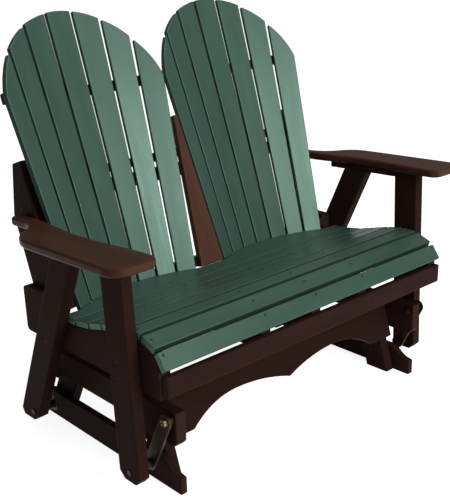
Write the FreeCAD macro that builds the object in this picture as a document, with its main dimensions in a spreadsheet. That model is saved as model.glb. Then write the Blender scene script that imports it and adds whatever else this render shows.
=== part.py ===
import FreeCAD, Part
import math
import os
from types import SimpleNamespace

import Sketcher

# A two-seat garden glider: a seat with two fan-shaped backs hangs on four swing links from a low base.
# X runs across the seat, Y from front to back, Z up from the floor. The origin lies on the floor,
# midway between the sides, near the middle of the seat's depth. Lengths are in millimetres,
# angles in degrees.

SIZES = [
    # lumber
    ("board_thick", 34, "thickness of legs, rails, posts and stringers"),
    ("board_width", 82, "width of the base's legs and rails"),
    ("trim_thick", 22, "thickness of apron, scalloped board, centre post, beam and runners"),
    ("slat_thick", 20, "thickness of the seat slats"),
    ("back_thick", 15, "thickness of the back slats"),
    ("arm_thick", 25, "thickness of the arm boards"),
    ("board_round", 4, "rounded edge of frame boards"),
    ("slat_round", 3, "rounded edge of slats"),
    ("fit_gap", 0.3, "clearance between neighbouring pieces"),
    # seat
    ("front_y", -392.57, "front face of the apron"),
    ("seat_inside", 1114, "distance between the inner faces of the legs"),
    ("slat_end_gap", 3, "gap between slat ends and legs"),
    ("apron_end_gap", 6, "gap between apron ends and legs"),
    ("apron_bottom", 317, "height of the apron's lower edge"),
    ("apron_height", 57, "height of the apron"),
    ("nose_setback", 1, "front slat's lower edge behind the apron's face"),
    ("nose_gap", 20, "front slat's lower edge above the apron"),
    ("slat_gap", 4, "gap between seat slats"),
    ("nose_bend_gap", 0.1, "gap between the lower edges of seat slats 1 and 2"),
    ("tilt_one", 54, "tilt of seat slat 1"),
    ("tilt_two", 21, "tilt of seat slat 2"),
    ("tilt_three", 2, "tilt of seat slat 3"),
    ("tilt_four", -9, "tilt of seat slat 4"),
    ("tilt_five", -15, "tilt of seat slat 5"),
    ("tilt_six", -15, "tilt of seat slat 6"),
    ("tilt_seven", -9, "tilt of seat slat 7"),
    ("tilt_eight", -3, "tilt of seat slat 8"),
    ("width_one", 49, "width of seat slat 1"),
    ("width_two", 52.8, "width of seat slat 2"),
    ("width_three", 43, "width of seat slat 3"),
    ("width_four", 51, "width of seat slat 4"),
    ("width_five", 55, "width of seat slat 5"),
    ("width_six", 57, "width of seat slat 6"),
    ("width_seven", 59, "width of seat slat 7"),
    ("width_eight", 70, "width of seat slat 8 at its ends"),
    ("stringer_drop", 9, "stringers' lower edge below the apron's"),
    ("inner_rise", 18, "inner stringers' lower edge above the outer ones'"),
    ("ledge_drop", 10, "stringers' ledge under the back below the rear slat"),
    ("stringer_tail", 36, "inner stringers' rear ends behind the centre post's rear face"),
    ("stringer_spread", 198, "inner stringers from the middle"),
    ("heel_gap", 30, "outer stringers' heel behind the rear slat's ends"),
    ("heel_wall", 15, "outer stringers' heel behind the posts' feet"),
    ("heel_rise", 67, "height of the outer stringers' heel above the ledge"),
    ("heel_round", 14, "rounded corners of the heel"),
    # legs and arms
    ("leg_width", 86, "width of the seat's legs"),
    ("leg_toe", 30, "legs' lower ends below their pivots"),
    ("leg_chamfer", 20, "cut corners of the legs' lower ends"),
    ("front_leg_shift", 3, "front leg's middle behind its pivot"),
    ("front_leg_lean", 2.3, "front leg's lean"),
    ("rear_leg_shift", 17, "rear leg's middle behind its pivot"),
    ("rear_leg_lean", 24.9, "rear leg's lean"),
    ("arm_bottom", 649, "height of the arm's underside at its front end"),
    ("arm_slope", 2.2, "fall of the arms towards the back"),
    ("arm_width", 135, "width of the arms at their front ends"),
    ("arm_waist", 18, "hollow of the arms' inner edges"),
    ("arm_lap", 22, "arms' inner edges inside the legs' inner faces"),
    ("arm_front", 18, "arm's front end behind the apron's face"),
    ("arm_tail", 637, "arm's rear end behind the apron's face"),
    ("arm_tail_length", 70, "straight part of the arm's tail"),
    ("arm_ogee_length", 172, "length of the arm's narrowing"),
    ("arm_tail_width", 39, "width of the arm's tail"),
    ("arm_outer_round", 46, "arm's outer front corner"),
    ("arm_inner_round", 30, "arm's inner front corner"),
    ("arm_tail_round", 14, "arm's tail corners"),
    ("arm_edge_round", 8, "rounded edge of the arms"),
    ("arm_rail_height", 20, "height of the rail under the arm"),
    ("arm_rail_end", 462, "arm rail's rear end behind the apron's face"),
    # back
    ("seam_low", 59, "fans' inner edges from the middle at seat level"),
    ("seam_high", 1.5, "fans' inner edges from the middle at the shoulders"),
    ("fan_gap", 3, "gap between the rear seat slat and the back slats"),
    ("fan_drop", 8, "back slats' lower ends below the rear seat slat's edge"),
    ("fan_lean", 19.1, "lean of the back"),
    ("fan_toe", 2.2, "turn of each fan towards the middle"),
    ("fan_step", 7.92, "turn from one back slat to the next"),
    ("fan_slat_gap", 5, "gap between back slats at seat level"),
    ("fan_top_gap", 7.5, "gap between back slats at the shoulders"),
    ("fan_height", 811, "length of the middle slat"),
    ("fan_crown", 211, "height of the fan's round top above the outer slats' shoulders"),
    ("support_depth", 16, "least depth of the middle and lower supports"),
    ("support_seat", 1.2, "depth of the supports' hollow behind the slats"),
    ("low_support_drop", 4, "lower support's ends below the top of the outer stringers' heels"),
    ("low_support_height", 30, "height of the lower support"),
    ("mid_support_w", 336, "middle support up the slope"),
    ("mid_support_height", 26, "height of the middle support"),
    ("top_support_drop", 33, "top supports' lower edges below the shoulders"),
    ("top_support_height", 30, "height of the top supports"),
    ("top_support_depth", 26, "depth of the top supports"),
    ("top_support_gap", 7, "top supports' inner ends from the middle"),
    ("top_support_lap", -9, "top supports' outer ends past the fans' edges"),
    ("seam_depth", 12, "centre post's rear face behind the fans' inner edges"),
    ("centre_gap", 14, "gap between the centre post and the fans at its foot"),
    ("centre_top_gap", 8, "gap between the centre post and the fans at its top"),
    ("centre_rise", 0.8, "centre post's foot above the rear slat's edge"),
    ("centre_drop", 143, "centre post's top below the fans' shoulders"),
    ("post_gap", 14, "posts' front edges behind the outer slats"),
    ("post_width", 118, "width of the posts"),
    ("post_taper", 70, "narrowing of the posts to their tops"),
    ("post_shoulder_w", 279, "start of the post's taper up the slope"),
    ("post_top_w", 415, "post's top up the slope"),
    ("beam_w", 279, "beam's lower edge up the slope"),
    ("beam_height", 42, "height of the beam"),
    # base
    ("rail_inset", 85, "base rails' inner faces inside the legs' inner faces"),
    ("rail_bottom", 165, "height of the base rails' lower edge"),
    ("rail_front_lap", 19, "base rails' front ends before the front pivots"),
    ("rail_rear_lap", 42, "base rails' rear ends behind the rear pivots"),
    ("rail_chamfer", 14, "cut corners of the base rails"),
    ("rail_end_drop", 18, "base rails' deeper ends below their middle"),
    ("rail_end_length", 105, "length of the base rails' deeper ends"),
    ("rail_end_slope", 36, "length of the slope between a base rail's end and middle"),
    ("runner_front", 39, "front end of the runners behind the apron's face"),
    ("runner_rear", 740, "rear end of the runners behind the apron's face"),
    ("runner_height", 85, "height of the runners"),
    ("toe_height", 50, "height of the runners' ends"),
    ("toe_length", 92, "length of the runners' falling ends"),
    ("base_leg_drop", 2, "base legs' tops below the rails' tops"),
    ("base_front_y", 98, "front base leg's front edge at floor level"),
    ("base_front_lean", 17.5, "front base leg's lean"),
    ("base_rear_y", 610, "rear base leg's front edge at floor level"),
    ("base_rear_lean", 28.4, "rear base leg's lean"),
    ("scallop_low", 118, "scalloped board's lower edge up its slope"),
    ("scallop_high", 250, "scalloped board's upper edge up its slope"),
    ("scallop_tongue", 139, "scalloped board's middle point up its slope"),
    ("scallop_foot", 378, "outer end of the scallops from the middle"),
    ("scallop_crown", 207, "crown of the scallops from the middle"),
    ("scallop_crown_high", 175, "crown of the scallops up the board's slope"),
    ("rear_board_low", 130, "rear board's lower edge up its slope"),
    ("rear_board_height", 82, "height of the rear board"),
    # swing links
    ("link_length", 167, "distance between a link's pivots"),
    ("link_width", 40, "width of the links"),
    ("link_thick", 6, "thickness of the links"),
    ("link_round", 1, "rounded edge of the links"),
    ("upper_spacer", 14, "length of the upper pivots' spacers"),
    ("front_pivot_y", 52, "front upper pivot behind the apron's face"),
    ("rear_pivot_y", 648, "rear upper pivot behind the apron's face"),
    ("pivot_rise", 60, "height of the upper pivots in the base rails"),
    ("front_slant", 26, "front link's slant at rest"),
    ("rear_slant", 19.3, "rear link's slant at rest"),
    ("bolt_radius", 6, "radius of the pivot bolts"),
    ("bolt_hole_gap", 0.2, "radial clearance of the bolts in the boards"),
    ("pivot_gap", 0.05, "radial running clearance of the links on the bolts"),
    ("open_pivot_gap", 3.6, "radial play of the rear links on their lower bolts"),
    ("spacer_radius", 13, "radius of the pivot spacers"),
    ("nut_radius", 11, "radius of the pivot nuts"),
    ("nut_height", 7, "height of the pivot nuts"),
    ("head_radius", 11, "radius of the upper bolts' heads"),
    ("head_height", 6, "height of the upper bolts' heads"),
    ("button_radius", 8.5, "radius of the lower bolts' heads"),
    ("button_height", 3, "height of the lower bolts' heads"),
]


class Size:
    """A number together with the sheet formula that it comes from."""

    def __init__(self, value, text):
        self.value = value
        self.text = text

    @staticmethod
    def of(number):
        return number if isinstance(number, Size) else Size(float(number), repr(float(number)))

    def _with(self, other, sign, value):
        return Size(value, f"({self.text} {sign} {Size.of(other).text})")

    def __add__(self, other):
        return self._with(other, "+", self.value + Size.of(other).value)

    def __sub__(self, other):
        return self._with(other, "-", self.value - Size.of(other).value)

    def __mul__(self, other):
        return self._with(other, "*", self.value * Size.of(other).value)

    def __truediv__(self, other):
        return self._with(other, "/", self.value / Size.of(other).value)

    def __radd__(self, other):
        return Size.of(other) + self

    def __rsub__(self, other):
        return Size.of(other) - self

    def __rmul__(self, other):
        return Size.of(other) * self

    def __neg__(self):
        return Size.of(-1) * self


def sine(angle):
    return Size(math.sin(math.radians(angle.value)), f"sin({angle.text} * 1 deg)")


def cosine(angle):
    return Size(math.cos(math.radians(angle.value)), f"cos({angle.text} * 1 deg)")


def tangent(angle):
    return Size(math.tan(math.radians(angle.value)), f"tan({angle.text} * 1 deg)")


def slope_angle(rise, run):
    """The angle in degrees whose tangent is rise over run."""
    return Size(math.degrees(math.atan(rise.value / run.value)), f"(atan({rise.text} / {run.text}) / 1 deg)")


def root(number):
    return Size(math.sqrt(number.value), f"sqrt({number.text})")


doc = FreeCAD.newDocument("glider")
sheet = doc.addObject("Spreadsheet::Sheet", "Sizes")
for row, (alias, value, note) in enumerate(SIZES, start=1):
    sheet.set(f"A{row}", note)
    sheet.set(f"B{row}", str(value))
    sheet.setAlias(f"B{row}", alias)
doc.recompute()
S = SimpleNamespace(**{alias: Size(float(value), f"Sizes.{alias}") for alias, value, note in SIZES})

nodes = []


def node(thing):
    """Marks a document object as one piece of the glider."""
    thing.Label = thing.Name
    nodes.append(thing)
    return thing


def vector(first, second):
    return FreeCAD.Vector(Size.of(first).value, Size.of(second).value, 0)


def bind(sketch, constraint, size):
    """Adds a dimension to a sketch and ties it to the sheet."""
    index = sketch.addConstraint(constraint)
    sketch.setExpression(f"Constraints[{index}]", Size.of(size).text)


def pin(sketch, geometry, point, first, second):
    """Fixes one point of a sketch by its two coordinates."""
    spot = vector(first, second)
    bind(sketch, Sketcher.Constraint("DistanceX", -1, 1, geometry, point, spot.x), first)
    bind(sketch, Sketcher.Constraint("DistanceY", -1, 1, geometry, point, spot.y), second)


def arc_between(start, end, radius):
    """The short arc from start to end, turning left where the radius is positive and right where negative."""
    chord = end - start
    across = FreeCAD.Vector(-chord.y, chord.x, 0).normalize()
    rise = math.sqrt(radius * radius - chord.Length * chord.Length / 4)
    centre = (start + end) * 0.5 + across * (rise if radius > 0 else -rise)
    first, last = (start, end) if radius > 0 else (end, start)
    begin = math.atan2(first.y - centre.y, first.x - centre.x)
    finish = math.atan2(last.y - centre.y, last.x - centre.x)
    return Part.ArcOfCircle(Part.Circle(centre, FreeCAD.Vector(0, 0, 1), abs(radius)), begin, finish)


def draw_outline(sketch, corners):
    """Draws a closed outline; a third number in a corner is the radius of the arc that leads to it."""
    ends = []
    for index, corner in enumerate(corners):
        start = vector(*corners[index - 1][:2])
        end = vector(*corner[:2])
        if len(corner) == 2:
            sketch.addGeometry(Part.LineSegment(start, end), False)
            ends.append((1, 2))
        else:
            sketch.addGeometry(arc_between(start, end, corner[2].value), False)
            ends.append((1, 2) if corner[2].value > 0 else (2, 1))
    for index, corner in enumerate(corners):
        following = (index + 1) % len(corners)
        joint = (index, ends[index][1], following, ends[following][0])
        sketch.addConstraint(Sketcher.Constraint("Coincident", *joint))
        pin(sketch, index, ends[index][1], corner[0], corner[1])
        if len(corner) == 3:
            radius = corner[2] if corner[2].value > 0 else -corner[2]
            bind(sketch, Sketcher.Constraint("Radius", index, radius.value), radius)


def attach(body, name, plane, start):
    """Adds a sketch on one of the body's own planes, shifted along that plane's normal."""
    sketch = body.newObject("Sketcher::SketchObject", name)
    sketch.AttachmentSupport = [(next(f for f in body.Origin.OriginFeatures if f.Role == plane), "")]
    sketch.MapMode = "FlatFace"
    sketch.setExpression("AttachmentOffset.Base.z", Size.of(start).text)
    return sketch


def board(name, plane, start, thick, corners, rounding=None, holes=(), hole_radius=None, placement=None):
    """A flat board: an outline on a plane, its thickness along the plane's axis, round edges and bolt holes."""
    body = doc.addObject("PartDesign::Body", name)
    backwards = plane == "XZ_Plane"
    offset = -Size.of(start) if backwards else Size.of(start)
    sketch = attach(body, f"{name}_outline", plane, offset)
    draw_outline(sketch, corners)
    pad = body.newObject("PartDesign::Pad", f"{name}_pad")
    pad.Profile = sketch
    pad.Reversed = backwards
    pad.setExpression("Length", thick.text)
    if rounding is not None:
        doc.recompute()
        fillet = body.newObject("PartDesign::Fillet", f"{name}_edges")
        fillet.Base = (pad, [""])
        fillet.UseAllEdges = True
        fillet.setExpression("Radius", rounding.text)
    if holes:
        hole_sketch = attach(body, f"{name}_holes", plane, offset)
        for index, (first, second) in enumerate(holes):
            radius = hole_radius[index] if isinstance(hole_radius, tuple) else hole_radius
            circle = Part.Circle(vector(first, second), FreeCAD.Vector(0, 0, 1), radius.value)
            hole_sketch.addGeometry(circle, False)
            pin(hole_sketch, index, 3, first, second)
            bind(hole_sketch, Sketcher.Constraint("Radius", index, radius.value), radius)
        pocket = body.newObject("PartDesign::Pocket", f"{name}_bores")
        pocket.Profile = hole_sketch
        pocket.Type = "ThroughAll"
        pocket.Reversed = not backwards
    if placement is not None:
        body.setExpression("Placement", placement)
    return node(body)


def turned(axis, angle):
    return f"rotation(vector({axis}); {Size.of(angle).text})"


def placed(x, y, z, *turns):
    """The formula of a placement: a point, then turns about axes through it."""
    return f"placement(vector({Size.of(x).text}; {Size.of(y).text}; {Size.of(z).text}); {' * '.join(turns)})"


ACROSS = "1; 0; 0"
BACKWARD = "0; 1; 0"
UPWARD = "0; 0; 1"
SIDES = {"left": -1, "right": 1}


def depth(distance):
    """A place behind the apron's front face."""
    return S.front_y + distance


def mirrored(corners, side):
    """Reflects an outline whose first coordinate runs across the seat."""
    turned_corners = [(side * corner[0], *corner[1:2], *(side * radius for radius in corner[2:])) for corner in corners]
    return turned_corners


def face(side, inner, thick):
    """The lower X face of a board that starts at a distance from the middle, on either side."""
    return inner if side > 0 else -(inner + thick)


half_inside = S.seat_inside / 2
half_rails = half_inside - S.rail_inset
pivot_z = S.rail_bottom + S.pivot_rise
hole = S.bolt_radius + S.bolt_hole_gap

# Pivots: each link hangs from an upper bolt on the base and carries the seat on its lower bolt.
pivots = {}
for end, pivot_y, slant in (("front", S.front_pivot_y, S.front_slant), ("rear", S.rear_pivot_y, -S.rear_slant)):
    upper = (depth(pivot_y), pivot_z)
    lower = (upper[0] + S.link_length * sine(slant), upper[1] - S.link_length * cosine(slant))
    pivots[end] = SimpleNamespace(upper=upper, lower=lower, slant=slant)

# Base: runners on the floor, splayed legs, rails that carry the upper pivots, and two cross boards.
toe_drop = S.runner_height - S.toe_height
toe_radius = (S.toe_length * S.toe_length / 4 + toe_drop * toe_drop / 4) / toe_drop
runner_front, runner_rear = depth(S.runner_front), depth(S.runner_rear)
toe_middle = (S.runner_height + S.toe_height) / 2
runner = [
    (runner_front, Size.of(0)),
    (runner_rear, Size.of(0)),
    (runner_rear, S.toe_height),
    (runner_rear - S.toe_length / 2, toe_middle, -toe_radius),
    (runner_rear - S.toe_length, S.runner_height, toe_radius),
    (runner_front + S.toe_length, S.runner_height),
    (runner_front + S.toe_length / 2, toe_middle, toe_radius),
    (runner_front, S.toe_height, -toe_radius),
]
rail_front = pivots["front"].upper[0] - S.rail_front_lap
rail_rear = pivots["rear"].upper[0] + S.rail_rear_lap
rail_top = S.rail_bottom + S.board_width
rail_low = S.rail_bottom - S.rail_end_drop
rail_step = S.rail_end_length + S.rail_end_slope
rail = [
    (rail_front + S.rail_chamfer, rail_low),
    (rail_front + S.rail_end_length, rail_low),
    (rail_front + rail_step, S.rail_bottom),
    (rail_rear - rail_step, S.rail_bottom),
    (rail_rear - S.rail_end_length, rail_low),
    (rail_rear - S.rail_chamfer, rail_low),
    (rail_rear, rail_low + S.rail_chamfer),
    (rail_rear, rail_top),
    (rail_front, rail_top),
    (rail_front, rail_low + S.rail_chamfer),
]


def leaning(front, lean, bottom, top):
    """A leaning board's outline between two heights; front is its front edge at floor level."""
    width = S.board_width / cosine(lean)
    low = front + bottom * tangent(lean)
    high = front + top * tangent(lean)
    return [(low, bottom), (low + width, bottom), (high + width, top), (high, top)]


base_leg_top = rail_top - S.base_leg_drop
base_legs = {
    "front": leaning(depth(S.base_front_y), S.base_front_lean, Size.of(0), base_leg_top),
    "rear": leaning(depth(S.base_rear_y), -S.base_rear_lean, Size.of(0), base_leg_top),
}
for hand, side in SIDES.items():
    board(f"runner_{hand}", "YZ_Plane", face(side, half_rails, S.trim_thick), S.trim_thick, runner, S.board_round)
    board(f"base_rail_{hand}", "YZ_Plane", face(side, half_rails, S.board_thick), S.board_thick, rail, S.board_round,
          [pivots["front"].upper, pivots["rear"].upper], hole)
    for end, outline in base_legs.items():
        board(f"base_leg_{end}_{hand}", "YZ_Plane", face(side, half_rails - S.board_thick, S.board_thick),
              S.board_thick, outline, S.board_round)

half_cross = half_rails - S.fit_gap


def crown_radius(run, rise):
    """Radius of an arc that leaves its crown level and falls by rise over run."""
    return (run * run + rise * rise) / (2 * rise)


outer_radius = crown_radius(S.scallop_foot - S.scallop_crown, S.scallop_crown_high - S.scallop_low)
inner_radius = crown_radius(S.scallop_crown, S.scallop_crown_high - S.scallop_tongue)
scallop = [
    (-half_cross, S.scallop_low),
    (-S.scallop_foot, S.scallop_low),
    (-S.scallop_crown, S.scallop_crown_high, -outer_radius),
    (Size.of(0), S.scallop_tongue, -inner_radius),
    (S.scallop_crown, S.scallop_crown_high, -inner_radius),
    (S.scallop_foot, S.scallop_low, -outer_radius),
    (half_cross, S.scallop_low),
    (half_cross, S.scallop_high),
    (-half_cross, S.scallop_high),
]
board("scalloped_board", "XZ_Plane", -S.trim_thick, S.trim_thick, scallop, S.board_round,
      placement=placed(0, depth(S.base_front_y), 0, turned(ACROSS, -S.base_front_lean)))
rear_edge = depth(S.base_rear_y) + S.board_width / cosine(S.base_rear_lean)
rear_board_high = S.rear_board_low + S.rear_board_height
rear_board = [
    (-half_cross, S.rear_board_low),
    (half_cross, S.rear_board_low),
    (half_cross, rear_board_high),
    (-half_cross, rear_board_high),
]
board("rear_board", "XZ_Plane", Size.of(0), S.trim_thick, rear_board, S.board_round,
      placement=placed(0, rear_edge, 0, turned(ACROSS, S.base_rear_lean)))

# Swing links: flat bars with rounded ends. The rear links' lower holes have play.
half_link = S.link_width / 2
link = [
    (-half_link, -S.link_length),
    (Size.of(0), -S.link_length - half_link, half_link),
    (half_link, -S.link_length, half_link),
    (half_link, Size.of(0)),
    (Size.of(0), half_link, half_link),
    (-half_link, Size.of(0), half_link),
]
running = S.bolt_radius + S.pivot_gap
rail_outer = half_rails + S.board_thick
link_inner = rail_outer + S.upper_spacer
for end, play in (("front", S.pivot_gap), ("rear", S.open_pivot_gap)):
    for hand, side in SIDES.items():
        board(f"{end}_link_{hand}", "YZ_Plane", face(side, link_inner, S.link_thick), S.link_thick, link, S.link_round,
              [(Size.of(0), Size.of(0)), (Size.of(0), -S.link_length)],
              (running, S.bolt_radius + play),
              placed(0, pivots[end].upper[0], pivots[end].upper[1], turned(ACROSS, pivots[end].slant)))


def bolt(name, side, spot, steps):
    """A pivot bolt along X made of round steps, each from one distance to another from the middle."""
    drums = []
    for index, (inner, outer, radius) in enumerate(steps):
        drum = doc.addObject("Part::Cylinder", f"{name}_{index}")
        drum.setExpression("Radius", radius.text)
        drum.setExpression("Height", (outer - inner).text)
        start = inner if side > 0 else -outer
        drum.setExpression("Placement", placed(start, spot[0], spot[1], turned(BACKWARD, 90)))
        drums.append(drum)
    whole = doc.addObject("Part::MultiFuse", name)
    whole.Shapes = drums
    return whole


link_outer = link_inner + S.link_thick
leg_outer = half_inside + S.board_thick
bolt_steps = {
    "upper": [
        (half_rails - S.nut_height, half_rails, S.nut_radius),
        (half_rails - S.nut_height, link_outer + S.fit_gap + S.head_height, S.bolt_radius),
        (rail_outer, link_inner - S.fit_gap, S.spacer_radius),
        (link_outer + S.fit_gap, link_outer + S.fit_gap + S.head_height, S.head_radius),
    ],
    "lower": [
        (link_inner - S.fit_gap - S.nut_height, link_inner - S.fit_gap, S.nut_radius),
        (link_inner - S.fit_gap - S.nut_height, leg_outer + S.button_height, S.bolt_radius),
        (link_outer + S.fit_gap, half_inside, S.spacer_radius),
        (leg_outer, leg_outer + S.button_height, S.button_radius),
    ],
}
for level, steps in bolt_steps.items():
    group = doc.addObject("Part::Compound", f"{level}_pivot_bolts")
    group.Links = [
        bolt(f"{level}_bolt_{end}_{hand}", side, getattr(pivots[end], level), steps)
        for end in pivots
        for hand, side in SIDES.items()
    ]
    node(group)

# Seat: eight slats follow a rolled front and a dished seat; their undersides shape the stringers.
tilts = [S.tilt_one, S.tilt_two, S.tilt_three, S.tilt_four, S.tilt_five, S.tilt_six, S.tilt_seven, S.tilt_eight]
widths = [S.width_one, S.width_two, S.width_three, S.width_four, S.width_five, S.width_six, S.width_seven,
          S.width_eight]
half_slat = half_inside - S.slat_end_gap
slat_length = 2 * half_slat
apron_top = S.apron_bottom + S.apron_height
spot = (depth(S.nose_setback), apron_top + S.nose_gap)
seat_slats = []
for index, (tilt, width) in enumerate(zip(tilts, widths)):
    if index:
        bend = tilts[index - 1].value - tilt.value
        mean = (tilts[index - 1] + tilt) / 2
        gap = S.nose_bend_gap if index == 1 else S.slat_gap
        if bend > 0:
            gap = gap + 2 * S.slat_thick * tangent((tilts[index - 1] - tilt) / 2)
        spot = (spot[0] + gap * cosine(mean), spot[1] + gap * sine(mean))
    front = spot
    spot = (front[0] + width * cosine(tilt), front[1] + width * sine(tilt))
    drop = (S.slat_thick * sine(tilt), -S.slat_thick * cosine(tilt))
    under_front = (front[0] + drop[0], front[1] + drop[1])
    under_rear = (spot[0] + drop[0], spot[1] + drop[1])
    seat_slats.append(SimpleNamespace(front=front, rear=spot, under_front=under_front, under_rear=under_rear))

for number, slat in enumerate(seat_slats[:-1], start=1):
    outline = [slat.front, slat.under_front, slat.under_rear, slat.rear]
    board(f"seat_slat_{number}", "YZ_Plane", -half_slat, slat_length, outline, S.slat_round)

# The slope of the back leans from the fans' middle slats at seat level. Each fan lies on a cone whose
# axis stands before it, and turns a little towards the middle of the seat.
rear_slat = seat_slats[-1]
lean_sine, lean_cosine = sine(S.fan_lean), cosine(S.fan_lean)
inner_angle = 3.5 * S.fan_step - S.fan_toe
outer_angle = 3.5 * S.fan_step + S.fan_toe
toe_sine, toe_cosine = sine(S.fan_toe), cosine(S.fan_toe)
fan_spread = half_inside / 2
low_radius = (fan_spread - S.seam_low) / (sine(inner_angle) + toe_sine)
high_radius = (fan_spread - S.seam_high) / (sine(inner_angle) + toe_sine)
fan_growth = high_radius - low_radius
fan_shoulder = S.fan_height - S.fan_crown
inner_sag = low_radius * (toe_cosine - cosine(inner_angle))
outer_sag = low_radius * (toe_cosine - cosine(outer_angle))
fan_y = rear_slat.rear[0] + S.fan_gap + inner_sag / lean_cosine
fan_z = rear_slat.rear[1] - S.fan_drop


def slope_at(height, inward):
    """The distance up the slope at which a plane parallel to it reaches a height."""
    return (height - fan_z + inward * lean_sine) / lean_cosine


def slope_y(distance, inward):
    return fan_y + distance * lean_sine + inward * lean_cosine


def slope_spot(distance, inward):
    """The depth and height of a place up the slope and behind it."""
    return slope_y(distance, inward), fan_z + distance * lean_cosine - inward * lean_sine


def hollow_at(distance):
    """Radius of the slats' front faces at a distance up the slope, and of the supports' hollow there."""
    radius = low_radius + fan_growth * distance / fan_shoulder
    return radius, radius + S.back_thick + S.support_seat


def hollow_depth(radius, seat, across):
    """The right fan's hollow behind the slope at a distance from the middle."""
    sideways = across - fan_spread + radius * toe_sine
    return root(seat * seat - sideways * sideways) - radius * toe_cosine


# The rear seat slat bulges back under each fan, following the hollow of the back slats.
fan_inner = fan_spread - low_radius * (sine(inner_angle) + toe_sine)
fan_outer = fan_spread + low_radius * (sine(outer_angle) - toe_sine)
end_width = S.width_eight - (outer_sag - inner_sag) / lean_cosine
bulge = low_radius * lean_cosine
last = [
    (-half_slat, Size.of(0)),
    (half_slat, Size.of(0)),
    (half_slat, end_width),
    (fan_outer, end_width),
    (fan_inner, S.width_eight, bulge),
    (-fan_inner, S.width_eight),
    (-fan_outer, end_width, bulge),
    (-half_slat, end_width),
]
board("seat_slat_8", "XY_Plane", -S.slat_thick, S.slat_thick, last, S.slat_round,
      placement=placed(0, rear_slat.front[0], rear_slat.front[1], turned(ACROSS, S.tilt_eight)))

# Apron across the front, between the legs.
half_apron = half_inside - S.apron_end_gap
apron = [
    (-half_apron, S.apron_bottom),
    (half_apron, S.apron_bottom),
    (half_apron, apron_top),
    (-half_apron, apron_top),
]
board("apron", "XZ_Plane", depth(0), S.trim_thick, apron, S.board_round)

# Stringers: the outer ones rise behind the seat to a heel that carries the post.
support_rear = S.back_thick + S.support_seat + S.support_depth
seam_setback = S.seam_depth - inner_sag
stringer_bottom = S.apron_bottom - S.stringer_drop
slat_end_y = rear_slat.front[0] + end_width * cosine(S.tilt_eight)
ledge_y = slat_end_y - S.board_round
ledge = (ledge_y, rear_slat.under_front[1] + (ledge_y - rear_slat.under_front[0]) * tangent(S.tilt_eight))
stringer_seat = rear_slat.under_rear[1] - S.ledge_drop
heel_height = stringer_seat + S.heel_rise
stringer_end = slope_y(slope_at(stringer_seat, seam_setback), seam_setback) + S.stringer_tail
seat_line = [ledge, rear_slat.under_front]
for slat in reversed(seat_slats[:-1]):
    seat_line += [slat.under_rear, slat.under_front]
chin_y = depth(S.trim_thick)
nose = seat_slats[0]
chin = (nose.under_front[0] + S.slat_thick * cosine(S.tilt_one) / 2,
        nose.under_front[1] + S.slat_thick * sine(S.tilt_one) / 2)
front_line = [chin, (chin_y, nose.under_front[1] - S.fit_gap)]
inner_bottom = stringer_bottom + S.inner_rise
inner_stringer = [
    (stringer_end, inner_bottom),
    (stringer_end, stringer_seat),
    (ledge_y, stringer_seat),
    *seat_line[:-1],
    *front_line,
    (chin_y, inner_bottom),
]
half_arm_inner = half_inside - S.arm_lap
post_outer = half_arm_inner - S.fit_gap
post_inner = post_outer - S.board_thick
post_front = hollow_depth(*hollow_at(S.post_top_w), post_inner) + S.post_gap
post_rear = post_front + S.post_width
post_bottom = heel_height + S.fit_gap
post = [
    slope_spot(slope_at(post_bottom, post_front), post_front),
    slope_spot(slope_at(post_bottom, post_rear), post_rear),
    slope_spot(S.post_shoulder_w, post_rear),
    slope_spot(S.post_top_w, post_rear - S.post_taper),
    slope_spot(S.post_top_w, post_front),
]
heel_front = slat_end_y + S.heel_gap
heel = post[1][0] + S.heel_wall
outer_stringer = [
    (heel - S.heel_round, stringer_bottom),
    (heel, stringer_bottom + S.heel_round, S.heel_round),
    (heel, heel_height - S.heel_round),
    (heel - S.heel_round, heel_height, S.heel_round),
    (heel_front + S.heel_round, heel_height),
    (heel_front, heel_height - S.heel_round, S.heel_round),
    (heel_front, stringer_seat),
    (ledge_y, stringer_seat),
    *seat_line[:-1],
    *front_line,
    (chin_y, stringer_bottom),
]
half_board = S.board_thick / 2
for name, middle in (("left", -S.stringer_spread), ("centre", Size.of(0)), ("right", S.stringer_spread)):
    board(f"inner_stringer_{name}", "YZ_Plane", middle - half_board, S.board_thick, inner_stringer)
for hand, side in SIDES.items():
    board(f"outer_stringer_{hand}", "YZ_Plane", face(side, half_inside - S.board_thick, S.board_thick),
          S.board_thick, outer_stringer)
    board(f"post_{hand}", "YZ_Plane", face(side, post_inner, S.board_thick), S.board_thick, post, S.board_round)

# Legs stand outside the stringers and carry the arms and the lower pivots.
arm_front = depth(S.arm_front)
arm_fall = tangent(S.arm_slope)


def under_arm(y):
    """Height of the arm's underside."""
    return S.arm_bottom - (y - arm_front) * arm_fall


def leg(pivot, shift, lean, drop):
    """A leaning leg about its pivot, up to a drop below the arm; its lower corners are cut."""
    slant = tangent(lean)
    width = S.leg_width / cosine(lean)
    bottom = pivot[1] - S.leg_toe
    front = pivot[0] + shift - width / 2 - pivot[1] * slant
    low_front = front + bottom * slant
    low_rear = low_front + width
    high_front = (under_arm(front) - drop) / (1 + slant * arm_fall)
    high_rear = (under_arm(front + width) - drop) / (1 + slant * arm_fall)
    return [
        (low_front + S.leg_chamfer, bottom),
        (low_rear - S.leg_chamfer, bottom),
        (low_rear + S.leg_chamfer * slant, bottom + S.leg_chamfer),
        (front + width + high_rear * slant, high_rear),
        (front + high_front * slant, high_front),
        (low_front + S.leg_chamfer * slant, bottom + S.leg_chamfer),
    ]


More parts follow.
